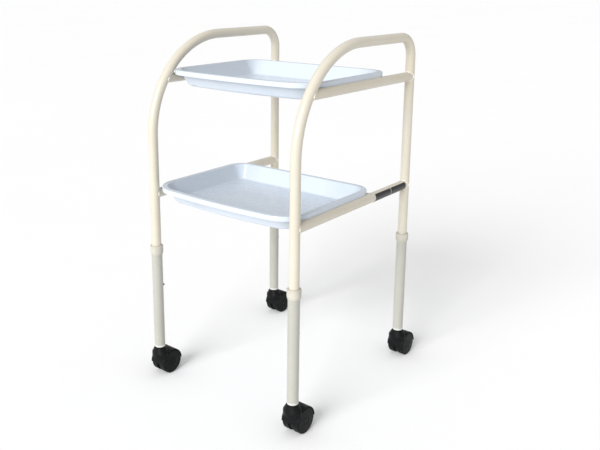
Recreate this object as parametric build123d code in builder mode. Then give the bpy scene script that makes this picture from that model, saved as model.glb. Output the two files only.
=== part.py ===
from build123d import *
import os

# Two-shelf instrument cart: two bent tube side frames joined by shelf rails, two plastic trays,
# and four telescopic lower legs on twin-wheel castors. Millimetres, +Z up. Seen from the low front
# where the legs sweep back into the handles, +X is to the right and +Y runs towards the rear legs.

# ---- driving dimensions -------------------------------------------------------------------------
leg_spacing_x = 400.0       # between the left and right leg centres
leg_spacing_y = 440.0       # between the front and rear leg centres
tube_radius = 11.0          # 22 mm frame tube
tube_wall = 1.5
rail_radius = 10.8          # a shade under the leg tubes, so their coped ends keep some edge
cross_radius = 8.0          # 16 mm cross tubes behind the trays

handle_height = 803.0       # centre line of the handle tube
front_bend_radius = 218.0   # long sweep from the front leg into the handle
rear_bend_radius = 45.0     # short bend from the handle into the rear leg
upper_shelf_height = 712.0  # centre line of the upper rails
lower_shelf_height = 452.0  # centre line of the lower rails
inner_leg_end = 128.0       # lower end of the frame tube, inside the lower leg

sleeve_radius = 12.5        # 25 mm lower leg tube
sleeve_clearance = 0.05     # radial running fit between the two leg tubes
sleeve_bottom = 77.0
sleeve_top = 325.0
collar_radius = 15.0
collar_height = 22.0
collar_lip = 3.0            # the collar closes over the top end of the lower tube
collar_taper = 6.0
socket_flange = 5.0         # pale ring seen under the lower tube
socket_plug_top = 102.0
screw_height = 224.0
screw_radius = 1.6
screw_head_radius = 2.7
screw_head_length = 6.5
screw_tip_gap = 0.3

tray_half_width = 200.0
tray_length = 305.0         # along Y, without the bow of the front edge
tray_bow = 12.0             # the front edge bulges by this much
tray_front_corner = 64.0
tray_rear_corner = 45.0
tray_wall = 2.5
rim_height = 10.2           # the skirt's lower edge stands on the rails
rim_flange = 12.0           # flat border between the skirt and the basin
basin_depth = 35.0
basin_draft_run = 20.0      # how far the basin wall leans in from rim to floor
floor_round = 7.0           # between basin floor and wall
lip_round = 2.0             # between border and basin wall
rim_round = 2.2             # round the tray's outer top edge
lower_tray_overhang = 7.0   # front corners stand this far ahead of the front leg centres
upper_tray_setback = 43.0   # the upper tray sits further back, clear of the bent legs

castor_trail = 20.0
wheel_radius = 28.5
wheel_width = 16.3
wheel_inner_face = 4.9      # from the castor's mid plane
wheel_edge = 3.0
wheel_crown = 1.1           # the outer face swells by this much towards the hub
hub_radius = 6.5
hub_groove = 0.9
axle_radius = 3.0
axle_half_length = 17.0
web_half_width = 4.5
web_radius = 25.0
fender_inner = 29.2
fender_outer = 30.7
fender_half_width = 22.5
neck_top = 71.5
neck_radius = 12.8
shoulder_height = 56.0      # the hood is at its full width from here down
shoulder_base = 44.0
shoulder_half_width = 22.2
shoulder_half_depth = 16.5
stem_radius = 5.0
stem_bottom = 57.0
stem_top = 99.0
running_clearance = 0.05

label_thickness = 0.5
label_start_angle = -50.0   # measured from straight outwards, positive downwards
label_sweep = 170.0
label_gap = 3.0

# ---- places worked out from the dimensions ------------------------------------------------------
tray_reach = lower_tray_overhang + tray_bow
centre_shift = (castor_trail + fender_outer - tray_reach) / 2
front_y = -leg_spacing_y / 2 - centre_shift
rear_y = leg_spacing_y / 2 - centre_shift
half_x = leg_spacing_x / 2
sides = {"left": -half_x, "right": half_x}
shelves = {
    "upper": (upper_shelf_height, front_y + upper_tray_setback),
    "lower": (lower_shelf_height, front_y - lower_tray_overhang),
}
corners = {
    "front_left": (-half_x, front_y),
    "front_right": (half_x, front_y),
    "rear_right": (half_x, rear_y),
    "rear_left": (-half_x, rear_y),
}

os.makedirs("parts", exist_ok=True)


def save(part, name):
    part.label = name
    export_step(part, f"parts/{name}.step")


def bent_leg_tube(x, inner_radius):
    """One tube that is the front leg, the handle and the rear leg of a side frame."""
    with BuildPart() as tube:
        with BuildLine() as route:
            FilletPolyline(
                (x, front_y, inner_leg_end),
                (x, front_y, handle_height),
                (x, rear_y, handle_height),
                (x, rear_y, inner_leg_end),
                radius=[front_bend_radius, rear_bend_radius],
            )
        with BuildSketch(Plane(origin=(x, front_y, inner_leg_end))):
            Circle(tube_radius)
            if inner_radius > 0:
                Circle(inner_radius, mode=Mode.SUBTRACT)
        sweep(path=route.wires()[0])
    return tube.part


def front_leg_y_at(height):
    """Where the front leg's centre line stands at a height, on the straight or on the long bend."""
    bend_centre = handle_height - front_bend_radius
    if height <= bend_centre:
        return front_y
    rise = height - bend_centre
    return front_y + front_bend_radius - (front_bend_radius**2 - rise**2) ** 0.5


def shelf_rail(x, height, leg_solid):
    """A straight tube between the front and rear leg, its ends cut to the legs' round."""
    start = front_leg_y_at(height)
    with BuildPart() as rail:
        with BuildSketch(Plane(origin=(x, start, height), z_dir=(0, 1, 0))):
            Circle(rail_radius)
            Circle(rail_radius - tube_wall, mode=Mode.SUBTRACT)
        extrude(amount=rear_y - start)
        add(leg_solid, mode=Mode.SUBTRACT)
    return rail.part


def cross_tube(height, y):
    """The tube that ties the two rails of a shelf together, behind the tray's basin."""
    with BuildPart() as tube:
        with BuildSketch(Plane(origin=(-half_x, y, height), z_dir=(1, 0, 0))):
            Circle(cross_radius)
            Circle(cross_radius - tube_wall, mode=Mode.SUBTRACT)
        extrude(amount=leg_spacing_x)
        for x in sides.values():
            with BuildSketch(Plane(origin=(x, y - rail_radius, height), z_dir=(0, 1, 0))):
                Circle(rail_radius)
            extrude(amount=2 * rail_radius, mode=Mode.SUBTRACT)
    return tube.part


def outline_sketch(front, inset, height):
    """The tray's plan, moved inwards by inset: straight sides and rear, a gently bowed front."""
    half_width = tray_half_width - inset
    front_edge = front + inset
    rear_edge = front + tray_length - inset
    with BuildSketch(Plane.XY.offset(height)) as plan:
        with BuildLine():
            ThreePointArc((-half_width, front_edge), (0, front_edge - tray_bow), (half_width, front_edge))
            Polyline(
                (half_width, front_edge),
                (half_width, rear_edge),
                (-half_width, rear_edge),
                (-half_width, front_edge),
            )
        make_face()
        fillet(plan.vertices().group_by(Axis.Y)[0], radius=tray_front_corner - inset)
        fillet(plan.vertices().group_by(Axis.Y)[-1], radius=tray_rear_corner - inset)
    return plan.sketch


def basin_form(front, inset, top, bottom, floor_radius):
    """The basin as a solid block with leaning walls and a rounded floor edge."""
    upper = outline_sketch(front, inset, top)
    lower = outline_sketch(front, inset + basin_draft_run, bottom)
    with BuildPart() as form:
        loft([upper.faces()[0], lower.faces()[0]])
        fillet(form.faces().sort_by(Axis.Z)[0].edges(), radius=floor_radius)
    return form.part


def tray(height, front):
    """A moulded tray: a basin with leaning walls, a flat border and a skirt that sits on the rails."""
    skirt_bottom = height + rail_radius
    rim_top = skirt_bottom + rim_height
    floor_top = rim_top - basin_depth
    outer_inset = rim_flange - tray_wall
    outer = basin_form(
        front, outer_inset, rim_top - tray_wall, floor_top - tray_wall, floor_round + tray_wall
    )
    inner = basin_form(front, rim_flange, rim_top, floor_top, floor_round)
    with BuildPart() as dish:
        add(outline_sketch(front, 0, skirt_bottom))
        extrude(amount=rim_height)
        fillet(dish.faces().sort_by(Axis.Z)[-1].edges(), radius=rim_round)
        add(outline_sketch(front, tray_wall, skirt_bottom))
        extrude(amount=rim_height - tray_wall, mode=Mode.SUBTRACT)
        add(outer)
        add(inner, mode=Mode.SUBTRACT)
        border = dish.faces().filter_by(Plane.XY).sort_by(Axis.Z)[-1]
        fillet(border.inner_wires()[0].edges(), radius=lip_round)
    return dish.part


def rail_label(start_y, length):
    """A thin dark band stuck round the outside and underside of the lower right rail."""
    radius = rail_radius + 0.02
    band_plane = Plane(origin=(half_x, start_y, lower_shelf_height), x_dir=(1, 0, 0), z_dir=(0, 1, 0))
    with BuildPart() as band:
        with BuildSketch(band_plane):
            with BuildLine():
                inner = CenterArc((0, 0), radius, label_start_angle, label_sweep)
                outer = CenterArc((0, 0), radius + label_thickness, label_start_angle, label_sweep)
                Line(inner @ 0, outer @ 0)
                Line(inner @ 1, outer @ 1)
            make_face()
        extrude(amount=length)
    return band.part


def lower_leg_tube(x, y):
    with BuildPart() as sleeve:
        with BuildSketch(Plane(origin=(x, y, sleeve_bottom))):
            Circle(sleeve_radius)
            Circle(tube_radius + sleeve_clearance, mode=Mode.SUBTRACT)
        extrude(amount=sleeve_top - sleeve_bottom)
        with BuildSketch(Plane(origin=(x, y, screw_height), z_dir=(0, 1, 0))):
            Circle(screw_radius + running_clearance)
        extrude(amount=sleeve_radius + 1, mode=Mode.SUBTRACT)
    return sleeve.part


def leg_collar(x, y):
    """Plastic collar over the top of the lower tube, with a lip that guides the frame tube."""
    top = sleeve_top + collar_lip
    bottom = top - collar_height
    bore = sleeve_radius + running_clearance
    with BuildPart() as collar:
        with BuildSketch(Plane(origin=(x, y, 0), x_dir=(1, 0, 0), z_dir=(0, -1, 0))):
            with BuildLine():
                Polyline(
                    (bore, bottom),
                    (bore + 0.7, bottom),
                    (collar_radius, bottom + collar_taper),
                    (collar_radius, top - 1.5),
                    (collar_radius - 1.5, top),
                    (tube_radius + 0.3, top),
                    (tube_radius + 0.3, sleeve_top),
                    (bore, sleeve_top),
                    (bore, bottom),
                )
            make_face()
        revolve(axis=Axis((x, y, 0), (0, 0, 1)))
    return collar.part


def leg_screw(x, y):
    """Small domed screw through the back of the lower tube; its tip stops short of the frame tube."""
    tip = y + tube_radius + screw_tip_gap
    head_start = y + sleeve_radius
    with BuildPart() as screw:
        with BuildSketch(Plane(origin=(x, tip, screw_height), z_dir=(0, 1, 0))):
            Circle(screw_radius)
        extrude(amount=head_start + 1 - tip)
        with BuildSketch(Plane(origin=(x, head_start + 0.15, screw_height), z_dir=(0, 1, 0))):
            Circle(screw_head_radius)
        extrude(amount=screw_head_length)
        fillet(screw.edges().group_by(Axis.Y)[-1], radius=1.6)
    return screw.part


def leg_socket(x, y):
    """Plastic plug in the end of the lower tube that holds the castor's stem."""
    flange_bottom = sleeve_bottom - socket_flange
    with BuildPart() as socket:
        with BuildSketch(Plane(origin=(x, y, flange_bottom))):
            Circle(sleeve_radius)
        extrude(amount=socket_flange)
        fillet(socket.edges().group_by(Axis.Z)[0], radius=1.2)
        with BuildSketch(Plane(origin=(x, y, sleeve_bottom))):
            Circle(tube_radius - running_clearance)
        extrude(amount=socket_plug_top - sleeve_bottom)
        with BuildSketch(Plane(origin=(x, y, flange_bottom))):
            Circle(stem_radius + running_clearance)
        extrude(amount=stem_top - flange_bottom, mode=Mode.SUBTRACT)
    return socket.part


def castor_stem(x, y):
    with BuildPart() as stem:
        with BuildSketch(Plane(origin=(x, y, stem_bottom))):
            Circle(stem_radius)
        extrude(amount=stem_top - stem_bottom)
        chamfer(stem.edges().group_by(Axis.Z)[0], length=0.8)
    return stem.part


def castor_body(x, y):
    """Hood, neck and middle web in one moulding: the hood roofs both wheels, the web holds the axle."""
    axle_y = y + castor_trail
    left = x - fender_half_width
    with BuildPart() as body:
        with BuildSketch(Plane(origin=(left, axle_y, wheel_radius), z_dir=(1, 0, 0))):
            Circle(fender_outer)
        extrude(amount=2 * fender_half_width)
        fillet(body.edges(), radius=3.5)
        with BuildSketch(Plane(origin=(x, y, shoulder_base))):
            Ellipse(shoulder_half_width, shoulder_half_depth)
        extrude(amount=shoulder_height - shoulder_base)
        with BuildSketch(Plane(origin=(x, y, shoulder_height))):
            Ellipse(shoulder_half_width, shoulder_half_depth)
        with BuildSketch(Plane(origin=(x, y, neck_top))):
            Circle(neck_radius)
        loft()
        for start, direction in ((x + web_half_width, (1, 0, 0)), (x - web_half_width, (-1, 0, 0))):
            with BuildSketch(Plane(origin=(start, axle_y, wheel_radius), z_dir=direction)):
                Circle(fender_inner)
            extrude(amount=fender_half_width, mode=Mode.SUBTRACT)
        with BuildSketch(Plane(origin=(x, axle_y, wheel_radius))):
            Rectangle(3 * fender_half_width, 3 * fender_outer)
        extrude(amount=-2 * wheel_radius, mode=Mode.SUBTRACT)
        with BuildSketch(Plane(origin=(x - web_half_width, axle_y, wheel_radius), z_dir=(1, 0, 0))):
            Circle(web_radius)
        extrude(amount=2 * web_half_width)
        with BuildSketch(Plane(origin=(x - web_half_width, axle_y, wheel_radius), z_dir=(1, 0, 0))):
            Circle(axle_radius)
        extrude(amount=2 * web_half_width, mode=Mode.SUBTRACT)
        with BuildSketch(Plane(origin=(x, y, stem_bottom))):
            Circle(stem_radius)
        extrude(amount=neck_top, mode=Mode.SUBTRACT)
    return body.part


def castor_axle(x, y):
    with BuildPart() as axle:
        start = (x - axle_half_length, y + castor_trail, wheel_radius)
        with BuildSketch(Plane(origin=start, z_dir=(1, 0, 0))):
            Circle(axle_radius)
        extrude(amount=2 * axle_half_length)
        chamfer(axle.edges().filter_by(GeomType.CIRCLE), length=0.5)
    return axle.part


def castor_wheel(x, y, outwards):
    """One wheel of the pair: rounded tread edges and a crowned outer face with a grooved hub cap."""
    face = wheel_inner_face + wheel_width
    crown = face + wheel_crown
    bore_end = axle_half_length + 1
    profile_plane = Plane(
        origin=(x, y + castor_trail, wheel_radius), x_dir=(outwards, 0, 0), z_dir=(0, -outwards, 0)
    )
    with BuildPart() as wheel:
        with BuildSketch(profile_plane):
            with BuildLine():
                Polyline(
                    (wheel_inner_face, axle_radius + running_clearance),
                    (wheel_inner_face, wheel_radius - 1),
                    (wheel_inner_face + 1, wheel_radius),
                    (face - wheel_edge, wheel_radius),
                )
                RadiusArc((face - wheel_edge, wheel_radius), (face, wheel_radius - wheel_edge), wheel_edge)
                Polyline(
                    (face, wheel_radius - wheel_edge),
                    (crown, hub_radius + 2 * hub_groove),
                    (crown - hub_groove, hub_radius + hub_groove),
                    (crown, hub_radius),
                    (crown, 0),
                    (bore_end, 0),
                    (bore_end, axle_radius + running_clearance),
                    (wheel_inner_face, axle_radius + running_clearance),
                )
            make_face()
        revolve(axis=Axis((x, y + castor_trail, wheel_radius), (1, 0, 0)))
    return wheel.part


# ---- frame --------------------------------------------------------------------------------------
for side, x in sides.items():
    save(bent_leg_tube(x, tube_radius - tube_wall), f"side_frame_{side}")
    leg_solid = bent_leg_tube(x, 0)
    for shelf, (height, front) in shelves.items():
        save(shelf_rail(x, height, leg_solid), f"{shelf}_rail_{side}")

for shelf, (height, front) in shelves.items():
    save(cross_tube(height, front + tray_length - cross_radius), f"{shelf}_cross_tube")
    save(tray(height, front), f"{shelf}_tray")

label_front = front_y + 290.0
label_rear = rear_y - tube_radius - 3.0
label_length = (label_rear - label_front - label_gap) / 2
save(rail_label(label_front, label_length), "rail_label_front")
save(rail_label(label_rear - label_length, label_length), "rail_label_rear")

# ---- lower legs and castors ---------------------------------------------------------------------
for corner, (x, y) in corners.items():
    save(lower_leg_tube(x, y), f"lower_leg_{corner}")
    save(leg_collar(x, y), f"leg_collar_{corner}")
    save(leg_screw(x, y), f"leg_screw_{corner}")
    save(leg_socket(x, y), f"leg_socket_{corner}")
    save(castor_stem(x, y), f"castor_stem_{corner}")
    save(castor_body(x, y), f"castor_body_{corner}")
    save(castor_axle(x, y), f"castor_axle_{corner}")
    save(castor_wheel(x, y, -1), f"castor_wheel_{corner}_a")
    save(castor_wheel(x, y, 1), f"castor_wheel_{corner}_b")
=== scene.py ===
import math

import bmesh
import bpy
from mathutils import Matrix, Vector


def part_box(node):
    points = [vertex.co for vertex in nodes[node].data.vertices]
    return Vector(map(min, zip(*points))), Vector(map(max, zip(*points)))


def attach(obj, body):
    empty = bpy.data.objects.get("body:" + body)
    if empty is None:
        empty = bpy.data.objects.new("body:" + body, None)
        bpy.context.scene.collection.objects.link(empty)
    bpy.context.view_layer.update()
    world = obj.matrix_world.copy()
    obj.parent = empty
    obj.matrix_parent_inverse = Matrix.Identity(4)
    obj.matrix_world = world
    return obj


bl_info = {
    "name": "Instrument Cart Finishes",
    "version": (1, 0, 0),
    "blender": (4, 5, 0),
    "location": "3D Viewport > Sidebar > Cart",
    "description": "Finishes and weld details for a two-tray instrument cart on telescopic legs",
    "category": "Object",
}

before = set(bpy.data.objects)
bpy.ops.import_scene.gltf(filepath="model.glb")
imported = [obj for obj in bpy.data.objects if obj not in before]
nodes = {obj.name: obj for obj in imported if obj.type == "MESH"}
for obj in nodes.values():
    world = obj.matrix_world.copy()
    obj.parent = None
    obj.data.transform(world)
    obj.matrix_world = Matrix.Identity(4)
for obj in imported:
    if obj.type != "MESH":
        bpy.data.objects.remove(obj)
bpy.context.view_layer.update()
CORNERS = ("front_left", "front_right", "rear_right", "rear_left")
SIDES = ("left", "right")
SHELVES = ("upper", "lower")
X, Y, Z = 0, 1, 2


# ---- settings -----------------------------------------------------------------------------------
def colour(name, description, value):
    return bpy.props.FloatVectorProperty(
        name=name, description=description, default=value, subtype="COLOR", size=3, min=0.0, max=1.0
    )


def length(name, description, value):
    return bpy.props.FloatProperty(
        name=name, description=description, default=value, min=0.0, unit="LENGTH", subtype="DISTANCE"
    )


def share(name, description, value):
    return bpy.props.FloatProperty(
        name=name, description=description, default=value, min=0.0, max=1.0, subtype="FACTOR"
    )


class CartEnamelSettings(bpy.types.PropertyGroup):
    frame_cream: colour("Frame cream", "Baked enamel on the side frames and rails", (0.63, 0.59, 0.505))
    frame_yellowed: colour("Frame, yellowed", "Where the frame enamel has aged", (0.60, 0.55, 0.445))
    leg_grey: colour("Lower leg", "Enamel on the telescopic lower tubes", (0.44, 0.435, 0.39))
    leg_shade: colour("Lower leg, handled", "Where the lower tubes have dulled", (0.405, 0.395, 0.345))
    chip: colour("Chip", "Grey primer that shows in small chips", (0.24, 0.22, 0.19))
    dust: colour("Dust", "Dust that lies on top of the tubes", (0.62, 0.59, 0.53))
    peel_size: length("Orange peel size", "Width of one dimple in the enamel", 0.0022)
    wear: share("Wear", "How much of the enamel is scuffed", 0.35)


class CartTraySettings(bpy.types.PropertyGroup):
    white: colour("Tray white", "Cool white moulded plastic", (0.59, 0.65, 0.725))
    white_deep: colour("Tray white, deep", "Slightly denser tone of the moulding", (0.565, 0.625, 0.705))
    scratched: colour("Scratched", "Plastic laid bare in the fine scratches", (0.58, 0.63, 0.69))
    dust: colour("Dust", "Dust that lies on the trays", (0.66, 0.66, 0.64))
    scratch_spacing: length("Scratch spacing", "Typical distance between fine scratches", 0.022)
    dust_film: share("Dust film", "How much dust lies on the floors and borders", 0.12)


class CartCastorSettings(bpy.types.PropertyGroup):
    hood_black: colour("Hood black", "Moulded castor hood", (0.006, 0.0065, 0.007))
    wheel_black: colour("Wheel black", "Castor wheels", (0.007, 0.0075, 0.008))
    dust: colour("Floor dust", "Pale dust picked up from the floor", (0.045, 0.043, 0.04))
    grain: length("Grain", "Size of the spark-eroded grain", 0.0007)


class CartFittingSettings(bpy.types.PropertyGroup):
    collar: colour("Collar", "Cream plastic collar at the top of each lower tube", (0.58, 0.555, 0.48))
    collar_dust: colour("Collar, dusty", "Dust on the collars", (0.55, 0.52, 0.46))
    socket: colour("Socket", "Pale plastic plug under each lower tube", (0.68, 0.67, 0.65))
    socket_dust: colour("Socket, dusty", "Dust on the plugs", (0.5, 0.48, 0.44))
    screw: colour("Screw", "Blackened steel screw", (0.03, 0.03, 0.032))
    label: colour("Label", "Dark film round the lower right rail", (0.011, 0.011, 0.013))
    label_dust: colour("Label, dusty", "Dust on the label", (0.12, 0.12, 0.12))
    steel: colour("Zinc steel", "Bright zinc on stems and axles", (0.58, 0.58, 0.60))


class CartWeldSettings(bpy.types.PropertyGroup):
    bead: length("Bead", "Radius of the weld bead where a rail meets a leg", 0.0013)
    stand_off: length("Stand-off", "How far the bead's centre stands outside the rail's surface", 0.0004)
    ripple: length("Ripple", "Unevenness left along the bead under the enamel", 0.0005)


class CartStageSettings(bpy.types.PropertyGroup):
    floor: colour("Floor", "Pale matte floor", (0.98, 0.98, 0.98))
    surround: colour("Surround", "Soft light from all round", (1.0, 1.0, 1.0))
    surround_strength: bpy.props.FloatProperty(
        name="Surround strength", description="Brightness of the soft surround", default=0.6, min=0.0
    )
    key_strength: bpy.props.FloatProperty(
        name="Key strength", description="Brightness of the large soft key light", default=3.2, min=0.0
    )


# ---- node helpers -------------------------------------------------------------------------------
def put(tree, kind, **settings):
    node = tree.nodes.new(kind)
    for name, value in settings.items():
        setattr(node, name, value)
    return node


def feed(tree, socket, source):
    """Fills a socket with another node's output or with a plain value."""
    if isinstance(source, bpy.types.NodeSocket):
        tree.links.new(source, socket)
    elif source is not None:
        socket.default_value = source


def math_node(tree, operation, first, second=None, third=None, clamp=False):
    node = put(tree, "ShaderNodeMath", operation=operation, use_clamp=clamp)
    for socket, source in zip(node.inputs, (first, second, third)):
        feed(tree, socket, source)
    return node.outputs[0]


def remap(tree, value, low, high, out_low=0.0, out_high=1.0):
    node = put(tree, "ShaderNodeMapRange", clamp=True)
    for name, source in (
        ("Value", value), ("From Min", low), ("From Max", high), ("To Min", out_low), ("To Max", out_high)
    ):
        feed(tree, node.inputs[name], source)
    return node.outputs[0]


def mix_colour(tree, factor, first, second):
    """Mixes two colours, whose sockets stand after the node's plain and vector ones."""
    first_colour, second_colour, mixed_colour = 6, 7, 2
    node = put(tree, "ShaderNodeMix", data_type="RGBA")
    feed(tree, node.inputs["Factor"], factor)
    feed(tree, node.inputs[first_colour], first)
    feed(tree, node.inputs[second_colour], second)
    return node.outputs[mixed_colour]


def noise(tree, position, scale, detail=3.0, roughness=0.55, distortion=0.0):
    node = put(tree, "ShaderNodeTexNoise")
    feed(tree, node.inputs["Vector"], position)
    feed(tree, node.inputs["Scale"], scale)
    node.inputs["Detail"].default_value = detail
    node.inputs["Roughness"].default_value = roughness
    node.inputs["Distortion"].default_value = distortion
    return node.outputs[0]


def reciprocal(tree, size):
    """Turns the size of a pattern into the scale that a texture asks for."""
    return math_node(tree, "DIVIDE", 1.0, size)


def times(tree, value, by, clamp=False):
    return math_node(tree, "MULTIPLY", value, by, clamp=clamp)


def plus(tree, value, more, clamp=False):
    return math_node(tree, "ADD", value, more, clamp=clamp)


def stretched(tree, position, scale):
    node = put(tree, "ShaderNodeMapping", vector_type="POINT")
    feed(tree, node.inputs["Vector"], position)
    node.inputs["Scale"].default_value = scale
    return node.outputs[0]


def new_group(name, inputs, outputs):
    group = bpy.data.node_groups.new(name, "ShaderNodeTree")
    for label, kind, value in inputs:
        socket = group.interface.new_socket(label, in_out="INPUT", socket_type=kind)
        if value is not None:
            socket.default_value = value
    for label, kind in outputs:
        group.interface.new_socket(label, in_out="OUTPUT", socket_type=kind)
    return group, put(group, "NodeGroupInput").outputs, put(group, "NodeGroupOutput").inputs


# ---- shared effects -----------------------------------------------------------------------------
def make_tone_drift(name):
    """Two close tones that drift into each other over a hand's breadth, with a finer cloud on top."""
    group, given, result = new_group(
        name,
        (("Position", "NodeSocketVector", None), ("Tone", "NodeSocketColor", (1, 1, 1, 1)),
         ("Other Tone", "NodeSocketColor", (0.9, 0.9, 0.9, 1)), ("Size", "NodeSocketFloat", 0.08)),
        (("Color", "NodeSocketColor"), ("Cloud", "NodeSocketFloat")),
    )
    broad_scale = reciprocal(group, given["Size"])
    fine_scale = times(group, broad_scale, 7.0)
    broad = noise(group, given["Position"], broad_scale, detail=2.0)
    fine = noise(group, given["Position"], fine_scale, detail=4.0, roughness=0.6)
    cloud = math_node(group, "MULTIPLY_ADD", fine, 0.35, times(group, broad, 0.75))
    cloud = remap(group, cloud, 0.35, 0.75)
    feed(group, result["Color"], mix_colour(group, cloud, given["Tone"], given["Other Tone"]))
    feed(group, result["Cloud"], cloud)
    return group


def make_orange_peel(name):
    """Shallow dimples of sprayed and baked enamel."""
    group, given, result = new_group(
        name,
        (("Position", "NodeSocketVector", None), ("Size", "NodeSocketFloat", 0.002)),
        (("Height", "NodeSocketFloat"),),
    )
    dimple_scale = reciprocal(group, given["Size"])
    wave_scale = times(group, dimple_scale, 0.22)
    dimples = noise(group, given["Position"], dimple_scale, detail=1.0, roughness=0.4)
    waves = noise(group, given["Position"], wave_scale, detail=1.0, roughness=0.4)
    feed(group, result["Height"], math_node(group, "MULTIPLY_ADD", waves, 0.8, dimples))
    return group


def make_fine_scratches(name):
    """Thin wandering scratches, thinned out by a slow mask."""
    group, given, result = new_group(
        name,
        (("Position", "NodeSocketVector", None), ("Size", "NodeSocketFloat", 0.03),
         ("Amount", "NodeSocketFloat", 0.4)),
        (("Mask", "NodeSocketFloat"),),
    )
    scale = reciprocal(group, given["Size"])
    wander = put(group, "ShaderNodeTexNoise")
    feed(group, wander.inputs["Vector"], given["Position"])
    feed(group, wander.inputs["Scale"], times(group, scale, 0.6))
    shift = put(group, "ShaderNodeVectorMath", operation="MULTIPLY_ADD")
    feed(group, shift.inputs[0], wander.outputs["Color"])
    shift.inputs[1].default_value = (0.03, 0.03, 0.03)
    feed(group, shift.inputs[2], given["Position"])
    line_width = 0.012
    lines = []
    for turn in (0.35, 1.7):
        turned = put(group, "ShaderNodeVectorRotate", rotation_type="Z_AXIS")
        feed(group, turned.inputs["Vector"], shift.outputs[0])
        turned.inputs["Angle"].default_value = turn
        squeezed = stretched(group, turned.outputs[0], (0.22, 1.0, 0.5))
        cells = put(group, "ShaderNodeTexVoronoi", feature="DISTANCE_TO_EDGE")
        feed(group, cells.inputs["Vector"], squeezed)
        feed(group, cells.inputs["Scale"], scale)
        lines.append(remap(group, cells.outputs["Distance"], 0.0, line_width, 1.0, 0.0))
    both = math_node(group, "MAXIMUM", lines[0], lines[1])
    sparse = noise(group, given["Position"], times(group, scale, 0.7), detail=3.0)
    edge = math_node(group, "SUBTRACT", 0.85, times(group, given["Amount"], 0.5))
    kept = remap(group, sparse, edge, plus(group, edge, 0.12))
    feed(group, result["Mask"], times(group, both, kept, clamp=True))
    return group


def make_settled_dust(name):
    """Dust that lies on what faces up, patchy and thin."""
    group, given, result = new_group(
        name,
        (("Position", "NodeSocketVector", None), ("Normal", "NodeSocketVector", None),
         ("Size", "NodeSocketFloat", 0.02), ("Amount", "NodeSocketFloat", 0.3)),
        (("Mask", "NodeSocketFloat"),),
    )
    parts = put(group, "ShaderNodeSeparateXYZ")
    feed(group, parts.inputs[0], given["Normal"])
    upward = remap(group, parts.outputs["Z"], 0.1, 0.95)
    patch_scale = reciprocal(group, given["Size"])
    speck_scale = times(group, patch_scale, 30.0)
    patches = remap(group, noise(group, given["Position"], patch_scale, 5.0, 0.65), 0.35, 0.75)
    specks = remap(group, noise(group, given["Position"], speck_scale, 2.0), 0.5, 0.72)
    lying = times(group, upward, math_node(group, "MULTIPLY_ADD", specks, 0.5, patches))
    feed(group, result["Mask"], times(group, lying, given["Amount"], clamp=True))
    return group


def make_small_chips(name):
    """Rare small chips through the enamel, in clusters."""
    group, given, result = new_group(
        name,
        (("Position", "NodeSocketVector", None), ("Size", "NodeSocketFloat", 0.004),
         ("Amount", "NodeSocketFloat", 0.3)),
        (("Mask", "NodeSocketFloat"),),
    )
    spot_scale = reciprocal(group, given["Size"])
    cluster_scale = times(group, spot_scale, 0.09)
    spots = noise(group, given["Position"], spot_scale, detail=3.0, roughness=0.5, distortion=0.4)
    clusters = noise(group, given["Position"], cluster_scale, detail=2.0)
    mixed = math_node(group, "MULTIPLY_ADD", clusters, 0.35, times(group, spots, 0.85))
    level = math_node(group, "SUBTRACT", 0.92, times(group, given["Amount"], 0.12))
    feed(group, result["Mask"], remap(group, mixed, level, plus(group, level, 0.015)))
    return group


EFFECTS = {
    "Tone Drift": make_tone_drift,
    "Orange Peel": make_orange_peel,
    "Fine Scratches": make_fine_scratches,
    "Settled Dust": make_settled_dust,
    "Small Chips": make_small_chips,
}


def use(tree, name, **values):
    """Places a shared effect in a material and fills its inputs. It is built when first asked for."""
    group = bpy.data.node_groups.get(name) or EFFECTS[name](name)
    node = put(tree, "ShaderNodeGroup", node_tree=group)
    for label, source in values.items():
        feed(tree, node.inputs[label.replace("_", " ")], source)
    return node.outputs


# ---- finishes -----------------------------------------------------------------------------------
def opaque(tone):
    return (tone[0], tone[1], tone[2], 1.0)


def darker(tone, share_left):
    return tuple(share_left * part for part in tone)


def new_material(name):
    """An empty finish, with the position and normal that its patterns read."""
    material = bpy.data.materials.new(name)
    material.use_nodes = True
    tree = material.node_tree
    tree.nodes.clear()
    shader = put(tree, "ShaderNodeBsdfPrincipled")
    output = put(tree, "ShaderNodeOutputMaterial")
    tree.links.new(shader.outputs[0], output.inputs["Surface"])
    place = put(tree, "ShaderNodeTexCoord")
    return material, tree, shader, place.outputs["Object"], place.outputs["Normal"]


def raise_bump(tree, shader, height, distance):
    bump = put(tree, "ShaderNodeBump")
    feed(tree, bump.inputs["Height"], height)
    bump.inputs["Distance"].default_value = distance
    bump.inputs["Strength"].default_value = 1.0
    feed(tree, shader.inputs["Normal"], bump.outputs[0])


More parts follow.
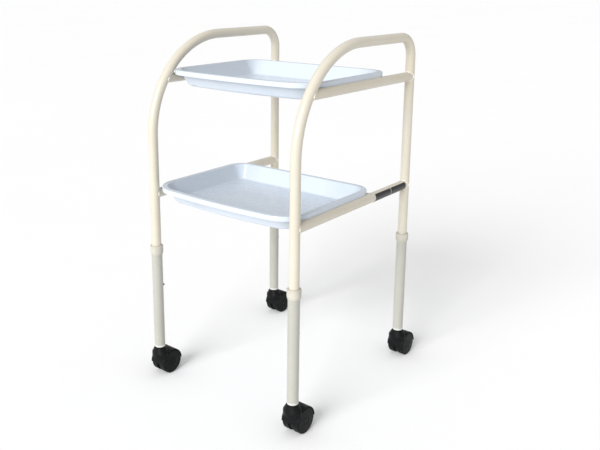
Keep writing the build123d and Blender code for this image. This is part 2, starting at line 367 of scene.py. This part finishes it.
def enamel(name, tone, other, settings, rub_stretch):
    """Baked enamel on steel tube: orange peel, slow yellowing, dull rubbed patches and a few chips."""
    material, tree, shader, position, normal = new_material(name)
    drift = use(tree, "Tone Drift", Position=position, Tone=opaque(tone), Other_Tone=opaque(other), Size=0.11)
    chips = use(tree, "Small Chips", Position=position, Size=0.0045, Amount=settings.wear)
    along = stretched(tree, position, rub_stretch)
    rubs = use(tree, "Fine Scratches", Position=along, Size=0.05, Amount=settings.wear)
    dust = use(tree, "Settled Dust", Position=position, Normal=normal, Size=0.03, Amount=0.12)
    base = mix_colour(tree, times(tree, rubs["Mask"], 0.25), drift["Color"], opaque(other))
    base = mix_colour(tree, dust["Mask"], base, opaque(settings.dust))
    base = mix_colour(tree, chips["Mask"], base, opaque(settings.chip))
    feed(tree, shader.inputs["Base Color"], base)
    rough = remap(tree, drift["Cloud"], 0.0, 1.0, out_low=0.30, out_high=0.42)
    rough = plus(tree, rough, times(tree, rubs["Mask"], 0.2))
    rough = plus(tree, rough, times(tree, dust["Mask"], 0.4), clamp=True)
    feed(tree, shader.inputs["Roughness"], rough)
    shader.inputs["Coat Weight"].default_value = 0.25
    shader.inputs["Coat Roughness"].default_value = 0.12
    shader.inputs["IOR"].default_value = 1.5
    peel = use(tree, "Orange Peel", Position=position, Size=settings.peel_size)
    height = math_node(tree, "SUBTRACT", peel["Height"], times(tree, chips["Mask"], 1.6))
    raise_bump(tree, shader, height, distance=0.00006)
    return material


def tray_plastic(settings):
    """Glossy cool-white moulding with hair scratches on the floor and a film of dust on the border."""
    material, tree, shader, position, normal = new_material("tray_plastic")
    drift = use(tree, "Tone Drift", Position=position, Tone=opaque(settings.white),
                Other_Tone=opaque(settings.white_deep), Size=0.16)
    hairs = use(tree, "Fine Scratches", Position=position, Size=settings.scratch_spacing, Amount=0.5)
    dust = use(tree, "Settled Dust", Position=position, Normal=normal, Size=0.04, Amount=settings.dust_film)
    base = mix_colour(tree, times(tree, hairs["Mask"], 0.05), drift["Color"], opaque(settings.scratched))
    base = mix_colour(tree, dust["Mask"], base, opaque(settings.dust))
    feed(tree, shader.inputs["Base Color"], base)
    rough = remap(tree, drift["Cloud"], 0.0, 1.0, out_low=0.17, out_high=0.27)
    rough = plus(tree, rough, times(tree, hairs["Mask"], 0.12))
    rough = plus(tree, rough, times(tree, dust["Mask"], 0.8), clamp=True)
    feed(tree, shader.inputs["Roughness"], rough)
    shader.inputs["IOR"].default_value = 1.49
    shader.inputs["Coat Weight"].default_value = 0.15
    shader.inputs["Coat Roughness"].default_value = 0.08
    ripples = use(tree, "Orange Peel", Position=position, Size=0.012)
    height = math_node(tree, "SUBTRACT", ripples["Height"], times(tree, hairs["Mask"], 0.1))
    raise_bump(tree, shader, height, distance=0.00004)
    return material


def moulded_plastic(name, tone, dust_tone, grain, gloss, dust_amount, shine=0.5, marks=0.3):
    """Moulded plastic with a spark-eroded grain, cloudy gloss, hair marks and dust."""
    material, tree, shader, position, normal = new_material(name)
    drift = use(tree, "Tone Drift", Position=position, Tone=opaque(tone),
                Other_Tone=opaque(darker(tone, 0.78)), Size=0.03)
    dust = use(tree, "Settled Dust", Position=position, Normal=normal, Size=0.012, Amount=dust_amount)
    hairs = use(tree, "Fine Scratches", Position=position, Size=0.012, Amount=0.6)
    base = mix_colour(tree, dust["Mask"], drift["Color"], opaque(dust_tone))
    base = mix_colour(tree, times(tree, hairs["Mask"], marks), base, opaque(dust_tone))
    feed(tree, shader.inputs["Base Color"], base)
    rough = remap(tree, drift["Cloud"], 0.0, 1.0, out_low=gloss[0], out_high=gloss[1])
    rough = plus(tree, rough, times(tree, dust["Mask"], 0.5), clamp=True)
    feed(tree, shader.inputs["Roughness"], rough)
    shader.inputs["IOR"].default_value = 1.48
    shader.inputs["Specular IOR Level"].default_value = shine
    peel = use(tree, "Orange Peel", Position=position, Size=grain)
    raise_bump(tree, shader, peel["Height"], distance=0.00004)
    return material


def plated_steel(name, tone, gloss):
    """Plated steel with fine turning marks and a little tarnish."""
    material, tree, shader, position, _ = new_material(name)
    drift = use(tree, "Tone Drift", Position=position, Tone=opaque(tone),
                Other_Tone=opaque(darker(tone, 0.7)), Size=0.008)
    feed(tree, shader.inputs["Base Color"], drift["Color"])
    shader.inputs["Metallic"].default_value = 1.0
    rough = remap(tree, drift["Cloud"], 0.0, 1.0, out_low=gloss[0], out_high=gloss[1])
    feed(tree, shader.inputs["Roughness"], rough)
    marks = noise(tree, stretched(tree, position, (1.0, 1.0, 14.0)), 400.0, detail=2.0)
    raise_bump(tree, shader, marks, distance=0.00003)
    return material


def finish_node(name, material):
    """Gives a frame part its finish."""
    slots = nodes[name].data.materials
    slots.clear()
    slots.append(material)


# ---- modelling helpers --------------------------------------------------------------------------
def deselect_all():
    if bpy.context.object and bpy.context.object.mode != "OBJECT":
        bpy.ops.object.mode_set(mode="OBJECT")
    bpy.ops.object.select_all(action="DESELECT")


def select_only(piece):
    deselect_all()
    piece.select_set(True)
    bpy.context.view_layer.objects.active = piece


def settle(piece):
    """Puts the piece's place into its mesh."""
    select_only(piece)
    bpy.ops.object.transform_apply(location=True, rotation=True, scale=True)


def surface_along(target, start, direction):
    """Where a straight line from start first meets a frame part."""
    hit, place, _, _ = target.ray_cast(start, direction)
    if not hit:
        raise RuntimeError(f"nothing of {target.name} lies that way")
    return place


def weld_bead(name, tube, direction, target, settings):
    """A bead round a tube's end, each of its sections slid along the tube until it meets the target."""
    low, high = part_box(tube)
    runs_back = high.y - low.y > high.x - low.x
    along, across = (Y, X) if runs_back else (X, Z)
    middle = (low + high) / 2
    sections, facets = 48, 10
    deselect_all()
    bpy.ops.mesh.primitive_torus_add(
        location=middle,
        rotation=(math.pi / 2, 0, 0) if runs_back else (0, math.pi / 2, 0),
        major_radius=(high.z - low.z) / 2 + settings.stand_off,
        minor_radius=settings.bead,
        major_segments=sections,
        minor_segments=facets,
    )
    bead = bpy.context.active_object
    bead.name = name
    settle(bead)
    heading = Vector((0, 0, 0))
    heading[along] = direction
    target_low, target_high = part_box(target)
    inside_edge = 0.985
    reach = inside_edge * (target_high.x - target_low.x) / 2
    bpy.ops.object.mode_set(mode="EDIT")
    bpy.ops.mesh.select_mode(type="VERT")
    for section in range(sections):
        mesh = bmesh.from_edit_mesh(bead.data)
        mesh.verts.ensure_lookup_table()
        for vertex in mesh.verts:
            vertex.select = section * facets <= vertex.index < (section + 1) * facets
        mesh.select_flush_mode()
        chosen = [vertex.co for vertex in mesh.verts if vertex.select]
        start = sum(chosen, Vector()) / len(chosen)
        resting = start[along]
        side = start[across] - middle[across]
        start[across] = middle[across] + max(-reach, min(reach, side))
        slide = Vector((0, 0, 0))
        slide[along] = surface_along(nodes[target], start, heading)[along] - resting
        bmesh.update_edit_mesh(bead.data)
        bpy.ops.transform.translate(value=slide)
    bpy.ops.object.mode_set(mode="OBJECT")
    ripple = bead.modifiers.new("ripple", "DISPLACE")
    ripple.texture = bpy.data.textures.new(f"{name}_ripple", "CLOUDS")
    ripple.texture.noise_scale = 0.0035
    ripple.strength = settings.ripple
    ripple.mid_level = 0.5
    bpy.ops.object.modifier_apply(modifier="ripple")
    bpy.ops.object.shade_smooth()
    return bead


# ---- stage --------------------------------------------------------------------------------------
def lay_floor(settings):
    deselect_all()
    bpy.ops.mesh.primitive_circle_add(vertices=96, radius=90.0, fill_type="NGON", location=(0, 0, 0))
    floor = bpy.context.active_object
    floor.name = "floor"
    material, tree, shader, position, _ = new_material("floor_pale")
    drift = use(tree, "Tone Drift", Position=position, Tone=opaque(settings.floor),
                Other_Tone=opaque(darker(settings.floor, 0.985)), Size=1.5)
    feed(tree, shader.inputs["Base Color"], drift["Color"])
    shader.inputs["Roughness"].default_value = 0.8
    shader.inputs["Specular IOR Level"].default_value = 0.2
    floor.data.materials.append(material)


def hang_lights(scene, settings):
    """A soft surround and one large key light from in front, a little above the cart."""
    world = bpy.data.worlds.new("surround")
    world.use_nodes = True
    sky = world.node_tree.nodes["Background"]
    sky.inputs["Color"].default_value = opaque(settings.surround)
    sky.inputs["Strength"].default_value = settings.surround_strength
    scene.world = world

    key = bpy.data.lights.new("key", "SUN")
    key.energy = settings.key_strength
    key.angle = math.radians(36)
    lamp = bpy.data.objects.new("key", key)
    scene.collection.objects.link(lamp)
    shines_towards = Vector((-0.05, 0.90, -0.43))
    lamp.rotation_euler = shines_towards.to_track_quat("-Z", "Y").to_euler()


def set_camera(scene):
    """The camera stands in front on the right, just above the handles, and looks slightly down."""
    view = bpy.data.cameras.new("camera")
    view.sensor_width = 36.0
    view.lens = 44.69
    view.shift_x = 0.042
    view.shift_y = -0.1044
    camera = bpy.data.objects.new("camera", view)
    scene.collection.objects.link(camera)
    place = (1.0307, -1.3497, 0.9269)
    turn, pitch, roll = math.radians(38.366), math.radians(13.725), math.radians(-0.324)
    right = Vector((math.cos(turn), math.sin(turn), 0))
    back = Vector((math.sin(turn) * math.cos(pitch), -math.cos(turn) * math.cos(pitch), math.sin(pitch)))
    down = (-back).cross(right)
    level_right = math.cos(roll) * right + math.sin(roll) * down
    level_down = -math.sin(roll) * right + math.cos(roll) * down
    axes = Matrix((level_right, -level_down, back)).transposed().to_4x4()
    camera.matrix_world = Matrix.Translation(place) @ axes
    scene.camera = camera


# ---- operators ----------------------------------------------------------------------------------
class CART_OT_stage(bpy.types.Operator):
    """Lay the floor, hang the lights and set the camera"""

    bl_idname = "cart.stage"
    bl_label = "Stage"

    def execute(self, context):
        scene = context.scene
        scene.view_settings.view_transform = "Standard"
        lay_floor(scene.cart_stage)
        hang_lights(scene, scene.cart_stage)
        set_camera(scene)
        return {"FINISHED"}


class CART_OT_frame_enamel(bpy.types.Operator):
    """Enamel the side frames, rails and cross tubes"""

    bl_idname = "cart.frame_enamel"
    bl_label = "Frame enamel"

    def execute(self, context):
        coats = context.scene.cart_enamel
        along_rails = (1.0, 0.6, 1.0)
        material = enamel("frame_enamel", coats.frame_cream, coats.frame_yellowed, coats, along_rails)
        for side in SIDES:
            finish_node(f"side_frame_{side}", material)
            for shelf in SHELVES:
                finish_node(f"{shelf}_rail_{side}", material)
        for shelf in SHELVES:
            finish_node(f"{shelf}_cross_tube", material)
        return {"FINISHED"}


class CART_OT_welds(bpy.types.Operator):
    """Lay the weld beads where the rails meet the legs and the cross tubes meet the rails"""

    bl_idname = "cart.welds"
    bl_label = "Weld beads"

    def execute(self, context):
        settings = context.scene.cart_weld
        material = bpy.data.materials["frame_enamel"]
        joins = [
            (f"weld_{shelf}_rail_{side}_{end}", f"{shelf}_rail_{side}", direction, f"side_frame_{side}")
            for side in SIDES for shelf in SHELVES for end, direction in (("front", -1), ("rear", 1))
        ]
        joins += [
            (f"weld_{shelf}_cross_tube_{side}", f"{shelf}_cross_tube", direction, f"{shelf}_rail_{side}")
            for shelf in SHELVES for side, direction in (("left", -1), ("right", 1))
        ]
        for name, tube, direction, target in joins:
            bead = weld_bead(name, tube, direction, target, settings)
            bead.data.materials.append(material)
            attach(bead, "cart_frame")
        return {"FINISHED"}


class CART_OT_trays(bpy.types.Operator):
    """Give both trays their moulded plastic"""

    bl_idname = "cart.trays"
    bl_label = "Trays"

    def execute(self, context):
        material = tray_plastic(context.scene.cart_tray)
        for shelf in SHELVES:
            finish_node(f"{shelf}_tray", material)
        return {"FINISHED"}


class CART_OT_lower_legs(bpy.types.Operator):
    """Finish the lower tubes with their collars, sockets and screws"""

    bl_idname = "cart.lower_legs"
    bl_label = "Lower legs"

    def execute(self, context):
        coats = context.scene.cart_enamel
        fitting = context.scene.cart_fitting
        down_legs = (3.0, 3.0, 0.25)
        tube = enamel("lower_leg_enamel", coats.leg_grey, coats.leg_shade, coats, down_legs)
        collar = moulded_plastic("collar_plastic", fitting.collar, fitting.collar_dust,
                                 grain=0.0009, gloss=(0.38, 0.5), dust_amount=0.2)
        socket = moulded_plastic("socket_plastic", fitting.socket, fitting.socket_dust,
                                 grain=0.0009, gloss=(0.35, 0.48), dust_amount=0.2)
        screw = plated_steel("screw_black", fitting.screw, gloss=(0.32, 0.5))
        for corner in CORNERS:
            finish_node(f"lower_leg_{corner}", tube)
            finish_node(f"leg_collar_{corner}", collar)
            finish_node(f"leg_socket_{corner}", socket)
            finish_node(f"leg_screw_{corner}", screw)
        return {"FINISHED"}


class CART_OT_castors(bpy.types.Operator):
    """Finish the castors: hoods, wheels, stems and axles"""

    bl_idname = "cart.castors"
    bl_label = "Castors"

    def execute(self, context):
        castor = context.scene.cart_castor
        steel = plated_steel("zinc_steel", context.scene.cart_fitting.steel, gloss=(0.25, 0.42))
        hood = moulded_plastic("castor_plastic", castor.hood_black, castor.dust, castor.grain,
                               gloss=(0.34, 0.48), dust_amount=0.1, shine=0.12)
        wheel = moulded_plastic("wheel_plastic", castor.wheel_black, castor.dust, castor.grain,
                                gloss=(0.4, 0.55), dust_amount=0.12, shine=0.12)
        for corner in CORNERS:
            finish_node(f"castor_body_{corner}", hood)
            finish_node(f"castor_stem_{corner}", steel)
            finish_node(f"castor_axle_{corner}", steel)
            for wheel_side in "ab":
                finish_node(f"castor_wheel_{corner}_{wheel_side}", wheel)
        return {"FINISHED"}


class CART_OT_label(bpy.types.Operator):
    """Finish the plain dark label on the lower right rail"""

    bl_idname = "cart.label"
    bl_label = "Rail label"

    def execute(self, context):
        fitting = context.scene.cart_fitting
        film = moulded_plastic("label_film", fitting.label, fitting.label_dust,
                               grain=0.004, gloss=(0.2, 0.34), dust_amount=0.05, marks=0.0)
        for end in ("front", "rear"):
            finish_node(f"rail_label_{end}", film)
        return {"FINISHED"}


class CART_PT_sidebar(bpy.types.Panel):
    """Finishes of the instrument cart"""

    bl_idname = "CART_PT_sidebar"
    bl_label = "Instrument Cart"
    bl_space_type = "VIEW_3D"
    bl_region_type = "UI"
    bl_category = "Cart"

    def draw(self, context):
        for step in STEPS:
            self.layout.operator(step.bl_idname)
        for name in SETTINGS:
            group = getattr(context.scene, name)
            box = self.layout.box()
            for field in group.__annotations__:
                box.prop(group, field)


SETTINGS = {
    "cart_enamel": CartEnamelSettings,
    "cart_tray": CartTraySettings,
    "cart_castor": CartCastorSettings,
    "cart_fitting": CartFittingSettings,
    "cart_weld": CartWeldSettings,
    "cart_stage": CartStageSettings,
}
STEPS = (
    CART_OT_stage,
    CART_OT_frame_enamel,
    CART_OT_welds,
    CART_OT_trays,
    CART_OT_lower_legs,
    CART_OT_castors,
    CART_OT_label,
)


def register():
    for name, group in SETTINGS.items():
        bpy.utils.register_class(group)
        setattr(bpy.types.Scene, name, bpy.props.PointerProperty(type=group))
    for step in STEPS:
        bpy.utils.register_class(step)
    bpy.utils.register_class(CART_PT_sidebar)


def unregister():
    bpy.utils.unregister_class(CART_PT_sidebar)
    for step in reversed(STEPS):
        bpy.utils.unregister_class(step)
    for name, group in reversed(SETTINGS.items()):
        delattr(bpy.types.Scene, name)
        bpy.utils.unregister_class(group)


def main():
    register()
    for step in STEPS:
        getattr(bpy.ops.cart, step.bl_idname.removeprefix("cart."))()


if __name__ == "__main__":
    main()
